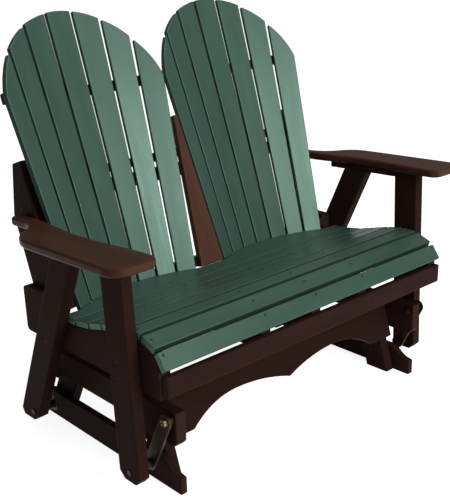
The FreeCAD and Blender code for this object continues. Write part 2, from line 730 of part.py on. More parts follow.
legs = {
    "front": leg(pivots["front"].lower, S.front_leg_shift, S.front_leg_lean, Size.of(0)),
    "rear": leg(pivots["rear"].lower, S.rear_leg_shift, -S.rear_leg_lean, S.arm_rail_height),
}
arm_rail_front = legs["front"][3][0] + S.fit_gap
arm_rail_rear = depth(S.arm_rail_end)
arm_rail = [
    (arm_rail_front, under_arm(arm_rail_front) - S.arm_rail_height),
    (arm_rail_rear, under_arm(arm_rail_rear) - S.arm_rail_height),
    (arm_rail_rear, under_arm(arm_rail_rear)),
    (arm_rail_front, under_arm(arm_rail_front)),
]
half_arm_outer = half_arm_inner + S.arm_width
arm_length = S.arm_tail - S.arm_front
tail_outer = half_arm_inner + S.arm_tail_width
ogee_rear = arm_length - S.arm_tail_length
ogee_front = ogee_rear - S.arm_ogee_length
ogee_run = S.arm_ogee_length / 2
ogee_step = (half_arm_outer - tail_outer) / 2
ogee_radius = (ogee_run * ogee_run + ogee_step * ogee_step) / (2 * ogee_step)
waist_run = (ogee_rear - S.arm_inner_round) / 4
waist_radius = crown_radius(waist_run, S.arm_waist / 2)
arm = [
    (half_arm_inner + S.arm_inner_round, Size.of(0), S.arm_inner_round),
    (half_arm_outer - S.arm_outer_round, Size.of(0)),
    (half_arm_outer, S.arm_outer_round, S.arm_outer_round),
    (half_arm_outer, ogee_front),
    (half_arm_outer - ogee_step, ogee_front + ogee_run, ogee_radius),
    (tail_outer, ogee_rear, -ogee_radius),
    (tail_outer, arm_length - S.arm_tail_round),
    (tail_outer - S.arm_tail_round, arm_length, S.arm_tail_round),
    (half_arm_inner + S.arm_tail_round, arm_length),
    (half_arm_inner, arm_length - S.arm_tail_round, S.arm_tail_round),
    (half_arm_inner, ogee_rear),
    (half_arm_inner + S.arm_waist / 2, ogee_rear - waist_run, waist_radius),
    (half_arm_inner + S.arm_waist, ogee_rear - 2 * waist_run, -waist_radius),
    (half_arm_inner + S.arm_waist / 2, S.arm_inner_round + waist_run, -waist_radius),
    (half_arm_inner, S.arm_inner_round, waist_radius),
]
for hand, side in SIDES.items():
    for end, outline in legs.items():
        board(f"{end}_leg_{hand}", "YZ_Plane", face(side, half_inside, S.board_thick), S.board_thick, outline,
              S.board_round, [pivots[end].lower], hole)
    board(f"arm_rail_{hand}", "YZ_Plane", face(side, half_inside, S.board_thick), S.board_thick, arm_rail,
          S.board_round)
    board(f"arm_{hand}", "XY_Plane", Size.of(0), S.arm_thick, mirrored(arm, side), S.arm_edge_round,
          placement=placed(0, arm_front, S.arm_bottom, turned(ACROSS, -S.arm_slope)))

# Fans: seven tapered slats each, on a cone that opens upwards, cut to a round top.
SLATS = range(-3, 4)
half_step_sine = sine(S.fan_step / 2)
low_half = low_radius * half_step_sine - S.fan_slat_gap / 2
high_half = high_radius * half_step_sine - S.fan_top_gap / 2
slope_turn = turned(ACROSS, -S.fan_lean)
edge_turn = 3 * S.fan_step
shoulder_across = high_radius * sine(edge_turn) + cosine(edge_turn) * high_half
top_radius = crown_radius(shoulder_across, S.fan_crown)
top_centre = S.fan_height - top_radius


def slat_end(across, slant):
    """How far up the slope a slat's edge, a line that starts at across and slants, meets the round top."""
    square = 1 + slant * slant
    middle = top_centre - across * slant
    rest = across * across + top_centre * top_centre - top_radius * top_radius
    return (middle + root(middle * middle - square * rest)) / square


for hand, side in SIDES.items():
    for place in SLATS:
        turn = place * S.fan_step
        facing = turn + side * S.fan_toe
        shift = fan_growth * sine(turn)
        back = fan_growth * (1 - cosine(turn))
        ends = {}
        for edge in (-1, 1):
            across = low_radius * sine(turn) + edge * cosine(turn) * low_half
            slant = (shift + edge * cosine(turn) * (high_half - low_half)) / fan_shoulder
            reach = slat_end(across, slant)
            ends[edge] = (edge * (low_half + (high_half - low_half) * reach / fan_shoulder), reach)
        outline = [
            (-low_half, Size.of(0)),
            (low_half, Size.of(0)),
            ends[1],
            (*ends[-1], top_radius),
        ]
        setback = low_radius * (cosine(facing) - toe_cosine)
        foot_x = side * fan_spread + low_radius * (sine(facing) - side * toe_sine)
        foot_y = slope_y(slope_at(fan_z, setback), setback)
        turns = [
            slope_turn,
            turned(UPWARD, -facing),
            turned(ACROSS, -slope_angle(back, fan_shoulder)),
            turned(BACKWARD, slope_angle(shift, fan_shoulder)),
        ]
        board(f"back_slat_{hand}_{place + 4}", "XZ_Plane", Size.of(0), S.back_thick, outline, S.slat_round,
              placement=placed(foot_x, foot_y, fan_z, *turns))

# Supports behind the slats: hollowed boards, square to the slope.
slope = placed(0, fan_y, fan_z, slope_turn)

low_reach = half_inside - S.board_thick - S.fit_gap
low_tip = hollow_depth(*hollow_at(Size.of(0)), low_reach)
low_start = slope_at(heel_height, low_tip) - S.low_support_drop - S.low_support_height
for name, start, height, reach in (
    ("lower_support", low_start, S.low_support_height, low_reach),
    ("middle_support", S.mid_support_w, S.mid_support_height, post_inner - S.fit_gap),
):
    radius, seat = hollow_at(start + height)
    seam_reach = radius * toe_cosine + seam_setback
    seam_across = fan_spread - radius * toe_sine - root(seat * seat - seam_reach * seam_reach)
    tip = hollow_depth(radius, seat, reach)
    outline = [
        (-reach, tip),
        (-seam_across, seam_setback, -seat),
        (seam_across, seam_setback),
        (reach, tip, -seat),
        (reach, support_rear),
        (-reach, support_rear),
    ]
    board(name, "XY_Plane", start, height, outline, S.board_round, placement=slope)

top_support_w = fan_shoulder - S.top_support_drop
radius, seat = hollow_at(top_support_w + S.top_support_height)
back = seat + S.top_support_depth
outer_x = fan_spread + radius * (sine(outer_angle) - toe_sine) + S.top_support_lap
top_support = [
    (S.top_support_gap, hollow_depth(radius, seat, S.top_support_gap)),
    (outer_x, hollow_depth(radius, seat, outer_x), -seat),
    (outer_x, hollow_depth(radius, back, outer_x)),
    (S.top_support_gap, hollow_depth(radius, back, S.top_support_gap), back),
]
for hand, side in SIDES.items():
    board(f"top_support_{hand}", "XY_Plane", top_support_w, S.top_support_height, mirrored(top_support, side),
          S.board_round, placement=slope)

# The beam joins the posts, and the centre post fills the seam of the fans.
beam_top = S.beam_w + S.beam_height
beam_end = post_inner - S.fit_gap
beam = [
    (-beam_end, S.beam_w),
    (beam_end, S.beam_w),
    (beam_end, beam_top),
    (-beam_end, beam_top),
]
board("cross_beam", "XZ_Plane", support_rear, S.trim_thick, beam, S.board_round, placement=slope)


def seam_at(distance):
    """Half the width of the seam between the fans at a distance up the slope."""
    return S.seam_low - (S.seam_low - S.seam_high) * distance / fan_shoulder


centre_foot = slope_at(rear_slat.rear[1] + S.centre_rise, seam_setback - S.trim_thick)
centre_low = seam_at(centre_foot) - S.centre_gap
centre_top = fan_shoulder - S.centre_drop
centre_high = seam_at(centre_top) - S.centre_top_gap
centre_post = [
    (-centre_low, centre_foot),
    (centre_low, centre_foot),
    (centre_high, centre_top),
    (-centre_high, centre_top),
]
board("centre_post", "XZ_Plane", seam_setback - S.trim_thick, S.trim_thick, centre_post, S.board_round,
      placement=slope)

doc.recompute()
for thing in doc.Objects:
    if "Invalid" in thing.State or "Error" in thing.State:
        raise RuntimeError(f"{thing.Name} did not build: {thing.State}")
for thing in nodes:
    if thing.Shape.isNull() or not thing.Shape.isValid():
        raise RuntimeError(f"{thing.Label} has no valid shape")

os.makedirs("parts", exist_ok=True)
for thing in nodes:
    thing.Shape.exportStep(f"parts/{thing.Label}.step")
print(len(nodes), "pieces written")
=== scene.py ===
"""Looks of a two-seat garden glider: moulded lumber, screws, swing hardware, light and camera."""

import logging
import math
from dataclasses import dataclass, field
from enum import Enum
from typing import Any, Sequence

import bpy
import numpy as np
from mathutils import Matrix, Vector
from mathutils.bvhtree import BVHTree


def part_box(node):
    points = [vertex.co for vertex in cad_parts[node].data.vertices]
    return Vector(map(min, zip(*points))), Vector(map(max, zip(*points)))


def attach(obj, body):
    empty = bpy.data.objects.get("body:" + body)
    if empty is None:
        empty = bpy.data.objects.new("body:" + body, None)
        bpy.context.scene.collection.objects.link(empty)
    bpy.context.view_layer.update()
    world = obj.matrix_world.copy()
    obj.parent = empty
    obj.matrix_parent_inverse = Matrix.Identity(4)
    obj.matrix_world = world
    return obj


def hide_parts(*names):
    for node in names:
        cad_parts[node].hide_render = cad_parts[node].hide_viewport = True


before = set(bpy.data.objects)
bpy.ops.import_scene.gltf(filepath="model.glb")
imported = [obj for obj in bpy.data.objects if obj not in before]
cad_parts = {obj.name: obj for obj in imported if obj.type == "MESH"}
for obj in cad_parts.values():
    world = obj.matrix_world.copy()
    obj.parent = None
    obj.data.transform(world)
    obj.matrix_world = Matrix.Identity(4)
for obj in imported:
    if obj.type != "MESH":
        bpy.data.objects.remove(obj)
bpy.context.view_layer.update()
LOG = logging.getLogger("glider")
Pair = tuple[float, float]
Triple = tuple[float, float, float]
EndSpot = tuple[str, float, float]
SIDES = {"left": -1.0, "right": 1.0}
NOISE_MIDDLE = 0.5
SHARP_EDGE = 35.0
FULL_TURN = 360.0
HEXAGON_STEP = 60.0
MIX_SHARE, MIX_LOW, MIX_HIGH, MIX_RESULT = 0, 6, 7, 2


class Grain(Enum):
    """The direction in which a board was drawn through its die."""

    ACROSS = (1.0, 0.0, 0.0)
    BACKWARD = (0.0, 1.0, 0.0)
    OWN_LENGTH = None


def linear(red: int, green: int, blue: int) -> Triple:
    """Scene-linear colour of a display colour given in 0 to 255, by the usual display curve.

    Args:
        red: Red part.
        green: Green part.
        blue: Blue part.

    Returns:
        The three linear parts.
    """
    parts = np.array([red, green, blue]) / 255.0
    low, high = parts / 12.92, ((parts + 0.055) / 1.055) ** 2.4
    return tuple(float(value) for value in np.where(parts <= 0.04045, low, high))


class Shade:
    """A number that varies over a surface and takes part in Python arithmetic."""

    def __init__(self, graph: "Graph", socket: bpy.types.NodeSocket) -> None:
        """Wraps one output socket of a material's graph."""
        self.graph = graph
        self.socket = socket

    def _math(self, operation: str, *values: Any) -> "Shade":
        """Adds a Math node for an operation on up to three values."""
        inputs = dict(enumerate(values))
        return self.graph.add("ShaderNodeMath", {"operation": operation}, inputs)

    def __add__(self, other: Any) -> "Shade":
        """Sum."""
        return self._math("ADD", self, other)

    def __radd__(self, other: Any) -> "Shade":
        """Sum with a number on the left."""
        return self._math("ADD", other, self)

    def __sub__(self, other: Any) -> "Shade":
        """Difference."""
        return self._math("SUBTRACT", self, other)

    def __rsub__(self, other: Any) -> "Shade":
        """Difference with a number on the left."""
        return self._math("SUBTRACT", other, self)

    def __mul__(self, other: Any) -> "Shade":
        """Product."""
        return self._math("MULTIPLY", self, other)

    def __rmul__(self, other: Any) -> "Shade":
        """Product with a number on the left."""
        return self._math("MULTIPLY", other, self)

    def __abs__(self) -> "Shade":
        """Size without the sign."""
        return self._math("ABSOLUTE", self)

    def swing(self) -> "Shade":
        """Noise about zero instead of about its middle."""
        return self - NOISE_MIDDLE

    def rise(self, low: float, high: float) -> "Shade":
        """A smooth step from 0 at low to 1 at high.

        Args:
            low: Value below which the step is 0.
            high: Value above which the step is 1.

        Returns:
            The step.
        """
        settings = {"interpolation_type": "SMOOTHSTEP"}
        inputs = {"Value": self, "From Min": low, "From Max": high}
        return self.graph.add("ShaderNodeMapRange", settings, inputs)


class Graph:
    """The node graph of one material, with its surface shader."""

    def __init__(self, name: str) -> None:
        """Starts a material with only a surface shader and an output."""
        self.material = bpy.data.materials.new(name)
        self.material.use_nodes = True
        self.tree = self.material.node_tree
        self.shader = self.tree.nodes["Principled BSDF"]

    def add(self, kind: str, settings: dict[str, Any], inputs: dict[Any, Any], output: Any = 0) -> Shade:
        """Adds a node.

        Args:
            kind: The node's type.
            settings: Its properties, which are set first.
            inputs: Its sockets' values or links by name or number.
            output: The socket that the result wraps.

        Returns:
            The wrapped output.
        """
        node = self.tree.nodes.new(kind)
        for key, value in settings.items():
            setattr(node, key, value)
        for key, value in inputs.items():
            self.feed(node.inputs[key], value)
        return Shade(self, node.outputs[output])

    def feed(self, socket: bpy.types.NodeSocket, value: Any) -> None:
        """Links a shade to a socket, or sets the socket to a constant.

        Args:
            socket: The socket that takes the value.
            value: A shade, a number or a row of numbers.
        """
        if isinstance(value, Shade):
            self.tree.links.new(value.socket, socket)
        else:
            socket.default_value = value

    def surface(self, **inputs: Any) -> None:
        """Feeds the surface shader, with a socket's spaces written as underscores."""
        for key, value in inputs.items():
            self.feed(self.shader.inputs[key.replace("_", " ")], value)

    def noise(self, place: Shade, waves: Triple, detail: float, seed: float = 0.0) -> Shade:
        """Noise from 0 to 1 about one half, stretched along each axis of a place.

        Args:
            place: The point that it is read at.
            waves: Waves per metre along each axis.
            detail: Finer layers on top.
            seed: Shift that sets one board's pattern apart from the next one's.

        Returns:
            The noise.
        """
        settings = {"operation": "MULTIPLY_ADD"}
        spot = self.add("ShaderNodeVectorMath", settings, {0: place, 1: waves, 2: (seed, seed, seed)})
        return self.add("ShaderNodeTexNoise", {}, {"Vector": spot, "Scale": 1.0, "Detail": detail}, "Fac")

    def alignment(self, facing: Shade, way: Vector) -> Shade:
        """How squarely a surface faces along or against a direction: their dot product without its sign.

        Args:
            facing: The surface's normal.
            way: Unit vector of the direction.

        Returns:
            1 where it faces that way, 0 where it lies along it.
        """
        settings = {"operation": "DOT_PRODUCT"}
        return abs(self.add("ShaderNodeVectorMath", settings, {0: facing, 1: way}, "Value"))

    def mix(self, share: Shade, low: Any, high: Any) -> Shade:
        """A colour between two colours.

        Args:
            share: 0 for the first, 1 for the second.
            low: The first colour.
            high: The second colour.

        Returns:
            The mixed colour.
        """
        ends = [value if isinstance(value, Shade) else (*value, 1.0) for value in (low, high)]
        inputs = {MIX_SHARE: share, MIX_LOW: ends[0], MIX_HIGH: ends[1]}
        return self.add("ShaderNodeMix", {"data_type": "RGBA"}, inputs, MIX_RESULT)

    def bump(self, height: Shade, depth: float, strength: float) -> Shade:
        """A normal bent by a height.

        Args:
            height: The height, about 0 to 1.
            depth: What a height of 1 stands for, in metres.
            strength: Share of the effect.

        Returns:
            The bent normal.
        """
        return self.add("ShaderNodeBump", {}, {"Height": height, "Distance": depth, "Strength": strength})


@dataclass(frozen=True)
class Marks:
    """Marks on moulded lumber: waves per metre along and across a board, and how much each mark shows; the
    side entries set painted shade on the narrow sides.
    """

    streak_waves: Triple = (7.0, 330.0, 330.0)
    streak_detail: float = 3.0
    streak_colour: float = 0.55
    streak_roughness: float = 0.16
    streak_height: float = 0.6
    cloud_waves: Triple = (3.2, 16.0, 16.0)
    cloud_detail: float = 2.0
    cloud_seed: float = 5.0
    cloud_colour: float = 0.9
    cloud_roughness: float = 0.14
    fleck_waves: Triple = (700.0, 900.0, 900.0)
    fleck_detail: float = 1.0
    fleck_colour: float = 0.25
    fleck_height: float = 0.25
    pore_waves: Triple = (500.0, 420.0, 420.0)
    pore_detail: float = 2.0
    pore_seed: float = 9.0
    pore_rim: Pair = (0.52, 0.68)
    pore_depth: float = 1.4
    end_facing: Pair = (0.8, 0.96)
    end_cover: float = 0.8
    end_roughness: float = 0.2
    # Painted shade: narrow sides that face the gaps between boards are darkened in colour, and roughened, to
    # stand for the shade in those gaps.
    side_facing: Pair = (0.5, 0.9)
    painted_shade_tone: float = 0.2
    side_roughness: float = 0.6
    relief_depth: float = 0.00035
    relief_strength: float = 0.35


MARKS = Marks()


@dataclass(frozen=True)
class Lumber:
    """Extruded plastic lumber: satin skin with faint streaks, painted shade on the narrow sides and
    open-pored ends.
    """

    name: str
    deep: Triple
    light: Triple
    cut: Triple
    roughness: float
    gloss: float
    sheen: Triple
    # How strongly the narrow sides are darkened by painted shade for the gaps between boards.
    painted_side_shade: float = 0.0

    def dress(
        self, piece: bpy.types.Object, along: Vector, across: Vector, middle: Vector, seed: float
    ) -> None:
        """Gives one board its material, with the streaks along its length.

        Args:
            piece: The board.
            along: Unit vector of the board's length.
            across: Unit vector of its width, which its narrow sides face.
            middle: The board's middle.
            seed: The board's own shift of the pattern.
        """
        graph = Graph(f"{self.name}_{piece.name}")
        turn = along.to_track_quat("X", "Z").to_euler()
        spot = graph.add("ShaderNodeTexCoord", {}, {}, "Object")
        facing = graph.add("ShaderNodeTexCoord", {}, {}, "Normal")
        inputs = {"Vector": spot, "Location": middle, "Rotation": turn}
        place = graph.add("ShaderNodeMapping", {"vector_type": "TEXTURE"}, inputs)
        streak = graph.noise(place, MARKS.streak_waves, MARKS.streak_detail, seed)
        cloud = graph.noise(place, MARKS.cloud_waves, MARKS.cloud_detail, seed + MARKS.cloud_seed)
        fleck = graph.noise(place, MARKS.fleck_waves, MARKS.fleck_detail, seed)
        pitted = graph.noise(place, MARKS.pore_waves, MARKS.pore_detail, seed + MARKS.pore_seed)
        pore = pitted.rise(*MARKS.pore_rim)
        ending = graph.alignment(facing, along).rise(*MARKS.end_facing)
        # Painted shade: narrow sides facing the gaps get a much darker colour and more roughness.
        side = graph.alignment(facing, across).rise(*MARKS.side_facing) * self.painted_side_shade
        share = NOISE_MIDDLE + streak.swing() * MARKS.streak_colour + cloud.swing() * MARKS.cloud_colour
        face = graph.mix(share + fleck.swing() * MARKS.fleck_colour, self.deep, self.light)
        skin = graph.mix(side, face, tuple(value * MARKS.painted_shade_tone for value in self.deep))
        sawn = graph.mix(pore, self.cut, self.deep)
        drawn = streak * MARKS.streak_height + fleck * MARKS.fleck_height
        height = drawn * (1.0 - ending) - pore * ending * MARKS.pore_depth
        worn = streak.swing() * MARKS.streak_roughness + cloud.swing() * MARKS.cloud_roughness
        graph.surface(
            Base_Color=graph.mix(ending * MARKS.end_cover, skin, sawn),
            Roughness=self.roughness + worn + ending * MARKS.end_roughness + side * MARKS.side_roughness,
            Normal=graph.bump(height, MARKS.relief_depth, MARKS.relief_strength),
            Specular_IOR_Level=self.gloss,
            Specular_Tint=(*self.sheen, 1.0),
        )
        piece.data.materials.clear()
        piece.data.materials.append(graph.material)


@dataclass(frozen=True)
class Metal:
    """Coated or plated hardware: a metal whose gloss is broken by fine handling marks."""

    name: str
    deep: Triple
    light: Triple
    roughness: float
    metallic: float
    gloss: float = 0.5
    grain_waves: Triple = (900.0, 900.0, 900.0)
    grain_detail: float = 2.0
    grain_colour: float = 0.4
    grain_roughness: float = 0.1
    cloud_waves: Triple = (60.0, 60.0, 60.0)
    cloud_detail: float = 3.0
    cloud_seed: float = 4.0
    cloud_colour: float = 1.3
    cloud_roughness: float = 0.25
    relief_depth: float = 0.0002
    relief_strength: float = 0.25

    def material(self) -> bpy.types.Material:
        """The finish as a material that reads object coordinates.

        Returns:
            The material.
        """
        graph = Graph(self.name)
        spot = graph.add("ShaderNodeTexCoord", {}, {}, "Object")
        grain = graph.noise(spot, self.grain_waves, self.grain_detail)
        cloud = graph.noise(spot, self.cloud_waves, self.cloud_detail, self.cloud_seed)
        share = NOISE_MIDDLE + cloud.swing() * self.cloud_colour + grain.swing() * self.grain_colour
        worn = cloud.swing() * self.cloud_roughness + grain.swing() * self.grain_roughness
        graph.surface(
            Base_Color=graph.mix(share, self.deep, self.light),
            Roughness=self.roughness + worn,
            Normal=graph.bump(grain, self.relief_depth, self.relief_strength),
            Metallic=self.metallic,
            Specular_IOR_Level=self.gloss,
        )
        return graph.material


GREEN = Lumber(
    name="green_lumber",
    deep=linear(42, 64, 55),
    light=linear(57, 81, 70),
    cut=linear(64, 90, 78),
    roughness=0.36,
    gloss=0.68,
    sheen=(0.62, 1.0, 0.82),
    # Strong painted shade on the slats' narrow sides, for the dark gaps between slats.
    painted_side_shade=0.85,
)
BROWN = Lumber(
    name="brown_lumber",
    deep=linear(35, 21, 17),
    light=linear(53, 35, 29),
    cut=linear(60, 42, 35),
    roughness=0.40,
    gloss=0.008,
    sheen=(1.0, 0.66, 0.5),
)
# A lighter copy of the brown lumber with painted light: the arms' brighter, lit tops and their sheen are put
# into the colour.
PAINTED_LIT_ARM_BROWN = Lumber(
    name="arm_lumber",
    deep=linear(47, 28, 20),
    light=linear(73, 48, 36),
    cut=linear(78, 55, 44),
    roughness=0.34,
    gloss=0.05,
    sheen=(1.0, 0.6, 0.42),
)
# A still lighter copy of the brown lumber with painted light, for the centre post that catches light from
# above and in front.
PAINTED_LIT_POST_BROWN = Lumber(
    name="post_lumber",
    deep=linear(62, 40, 30),
    light=linear(91, 63, 50),
    cut=linear(84, 60, 49),
    roughness=0.34,
    gloss=0.06,
    sheen=(1.0, 0.66, 0.5),
)
BRONZE = Metal("bronze_coat", linear(42, 30, 24), linear(68, 49, 38), 0.42, 0.6, 0.3)
BRASSED = Metal("plated_bolt", linear(134, 100, 70), linear(196, 158, 118), 0.27, 1.0)
DARK_STEEL = Metal("dark_steel", linear(24, 18, 15), linear(40, 32, 27), 0.42, 0.4, 0.2)
GREEN_COAT = Metal("green_screw", linear(26, 42, 35), linear(42, 62, 53), 0.45, 0.0, 0.2)
BROWN_COAT = Metal("brown_screw", linear(20, 13, 11), linear(34, 23, 19), 0.45, 0.0, 0.1)


@dataclass
class Surface:
    """Points and faces worked out as whole arrays."""

    points: np.ndarray
    faces: list[np.ndarray]

    def repeated(self, frames: np.ndarray) -> "Surface":
        """The same surface once in each of many frames: each point becomes turn times point plus place.

        Args:
            frames: Array of shape (count, 3, 4), each a turn and a place.

        Returns:
            All copies as one surface.
        """
        moved = np.einsum("nij,pj->npi", frames[:, :, :3], self.points) + frames[:, None, :, 3]
        steps = (np.arange(len(frames)) * len(self.points))[:, None, None]
        copies = [(faces[None] + steps).reshape(-1, faces.shape[1]) for faces in self.faces]
        return Surface(moved.reshape(-1, 3), copies)

    def joined(self, other: "Surface") -> "Surface":
        """This surface and another as one."""
        moved = [faces + len(self.points) for faces in other.faces]
        return Surface(np.vstack([self.points, other.points]), self.faces + moved)

    def piece(self, name: str, body: str, slot: str, material: bpy.types.Material) -> bpy.types.Object:
        """Puts the surface into the scene as a piece of the object.

        Args:
            name: The piece's name.
            body: The body that it rides on.
            slot: The record's material slot; not used.
            material: Its finish.

        Returns:
            The new object.
        """
        mesh = bpy.data.meshes.new(name)
        faces = [face for same_size in self.faces for face in same_size.tolist()]
        mesh.from_pydata(self.points.tolist(), [], faces)
        mesh.polygons.foreach_set("use_smooth", np.ones(len(mesh.polygons), bool))
        mesh.set_sharp_from_angle(angle=math.radians(SHARP_EDGE))
        mesh.materials.append(material)
        mesh.update()
        piece = bpy.data.objects.new(name, mesh)
        bpy.context.scene.collection.objects.link(piece)
        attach(piece, body)
        LOG.info("%s: %d faces on %s", name, len(mesh.polygons), body)
        return piece


def turned(rings: np.ndarray, heights: np.ndarray) -> Surface:
    """A closed solid of rings about Z: point (i, j) lies at ring i's radius at angle j and ring i's height.

    The first and last rings are closed by a fan to a middle point at their own height.

    Args:
        rings: Radii of shape (rings, angles).
        heights: Heights of the rings, from the bottom up.

    Returns:
        The solid's surface.
    """
    count, steps = rings.shape
    angle = np.linspace(0.0, 2.0 * math.pi, steps, endpoint=False)
    upward = np.repeat(heights[:, None], steps, axis=1)
    points = np.stack([rings * np.cos(angle), rings * np.sin(angle), upward], axis=2).reshape(-1, 3)
    poles = np.array([[0.0, 0.0, heights[0]], [0.0, 0.0, heights[-1]]])
    around = np.arange(steps)
    after = (around + 1) % steps
    below = (np.arange(count - 1) * steps)[:, None]
    above = below + steps
    quads = np.stack([below + around, below + after, above + after, above + around], axis=2)
    top = (count - 1) * steps
    low_pole, high_pole = count * steps, count * steps + 1
    low = np.stack([np.full(steps, low_pole), after, around], axis=1)
    high = np.stack([np.full(steps, high_pole), top + around, top + after], axis=1)
    return Surface(np.vstack([points, poles]), [quads.reshape(-1, 4), low, high])


def hexagon(across_flats: float, steps: int) -> np.ndarray:
    """Radii of a hexagon: half the width across flats over the cosine of the angle from the nearest flat.

    Args:
        across_flats: Width across flats.
        steps: Number of angles, a multiple of 6.

    Returns:
        One radius per angle.
    """
    angle = np.linspace(0.0, FULL_TURN, steps, endpoint=False)
    return across_flats / 2.0 / np.cos(np.radians(angle % HEXAGON_STEP - HEXAGON_STEP / 2.0))


def aimed(spot: Vector, facing: Vector, spin: float = 0.0) -> np.ndarray:
    """A frame whose Z looks along a direction.

    Args:
        spot: The frame's place.
        facing: The direction of its Z.
        spin: Turn about that direction in degrees.

    Returns:
        A turn and a place as a 3 by 4 array.
    """
    turn = facing.to_track_quat("Z", "Y").to_matrix() @ Matrix.Rotation(math.radians(spin), 3, "Z")
    return np.hstack([np.array(turn), np.array(spot)[:, None]])


@dataclass
class Screw:
    """A low-domed screw head with a star recess."""

    radius: float = 0.0042
    dome: float = 0.0011
    sink: float = 0.0006
    rim: float = 0.0002
    shoulder: float = 0.78
    shoulder_rise: float = 0.9
    recess: float = 0.0021
    recess_waist: float = 0.66
    recess_floor: float = 0.8
    recess_rise: float = 0.25
    steps: int = 12

    def head(self) -> Surface:
        """The head as rings: a rim sunk into the board, a dome, and a star-shaped recess with a floor.

        Returns:
            The head about Z, with the board's face at height 0.
        """
        tip = np.arange(self.steps) % 2 == 0
        star = np.where(tip, self.recess, self.recess * self.recess_waist)
        rim = np.full(self.steps, self.radius)
        rings = np.stack([rim, rim, rim * self.shoulder, star, star * self.recess_floor])
        domed = np.array([self.shoulder_rise, 1.0, self.recess_rise]) * self.dome
        return turned(rings, np.array([-self.sink, self.rim, *domed]))


@dataclass
class Probe:
    """Finds where a straight line first meets a board."""

    node: str
    tree: BVHTree = field(init=False)

    def __post_init__(self) -> None:
        """Keeps the board's faces in a search tree."""
        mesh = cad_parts[self.node].data
        corners = [vertex.co for vertex in mesh.vertices]
        self.tree = BVHTree.FromPolygons(corners, [tuple(polygon.vertices) for polygon in mesh.polygons])

    def meet(self, start: Sequence[float], way: Sequence[float], spin: float = 0.0) -> np.ndarray | None:
        """The frame on the board's face at which a line from start meets it, or nothing.

        Args:
            start: Where the line starts.
            way: Its direction.
            spin: Turn of the frame about the face's normal in degrees.

        Returns:
            The frame, or None where the line misses.
        """
        spot, normal, _, _ = self.tree.ray_cast(Vector(start), Vector(way))
        return None if spot is None else aimed(spot, normal, spin)


@dataclass
class Boards:
    """All boards of the glider with the way that their streaks run."""

    green: tuple[str, ...] = ("seat_slat", "back_slat")
    arms: tuple[str, ...] = ("arm_left", "arm_right")
    seam: str = "centre_post"
    metal: tuple[str, ...] = ("front_link", "rear_link", "upper_pivot", "lower_pivot")
    across: tuple[str, ...] = (
        "seat_slat",
        "apron",
        "lower_support",
        "middle_support",
        "top_support",
        "cross_beam",
        "scalloped",
        "rear_board",
    )
    backward: tuple[str, ...] = ("runner", "base_rail", "inner_stringer", "outer_stringer", "arm")
    seed_step: float = 3.7
    digits: int = 5

    def finish(self, name: str) -> Lumber:
        """The lumber of a board.

        Args:
            name: The board's name.

        Returns:
            Its finish.
        """
        if name.startswith(self.green):
            return GREEN
        # The arms take the lighter brown with painted light.
        if name in self.arms:
            return PAINTED_LIT_ARM_BROWN
        # The centre post takes the lighter brown with painted light.
        return PAINTED_LIT_POST_BROWN if name == self.seam else BROWN

    def grain(self, name: str) -> Grain:
        """The direction in which a board runs.

        Args:
            name: The board's name.

        Returns:
            One of the named directions.
        """
        if name.startswith(self.across):
            return Grain.ACROSS
        return Grain.BACKWARD if name.startswith(self.backward) else Grain.OWN_LENGTH

    def directions(self, piece: bpy.types.Object) -> tuple[Vector, Vector, Vector]:
        """The main directions of a board's points, worked out from their spread, and their middle.

        Args:
            piece: The board.

        Returns:
            The unit vectors of its length and width, and its middle.
        """
        points = np.empty(len(piece.data.vertices) * 3)
        piece.data.vertices.foreach_get("co", points)
        points = np.unique(points.reshape(-1, 3).round(self.digits), axis=0)
        middle = (points.min(axis=0) + points.max(axis=0)) / 2.0
        _, _, ways = np.linalg.svd(points - points.mean(axis=0), full_matrices=False)
        way = self.grain(piece.name).value or ways[0] * np.sign(ways[0][2] or 1.0)
        along = Vector(way).normalized()
        return along, along.cross(Vector(ways[2])).normalized(), Vector(middle)

    def dress(self) -> None:
        """Gives every board its lumber."""
        for number, (name, piece) in enumerate(sorted(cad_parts.items())):
            if name.startswith(self.metal):
                continue
            along, across, middle = self.directions(piece)
            self.finish(name).dress(piece, along, across, middle, self.seed_step * number)
            LOG.info("%s dressed", name)


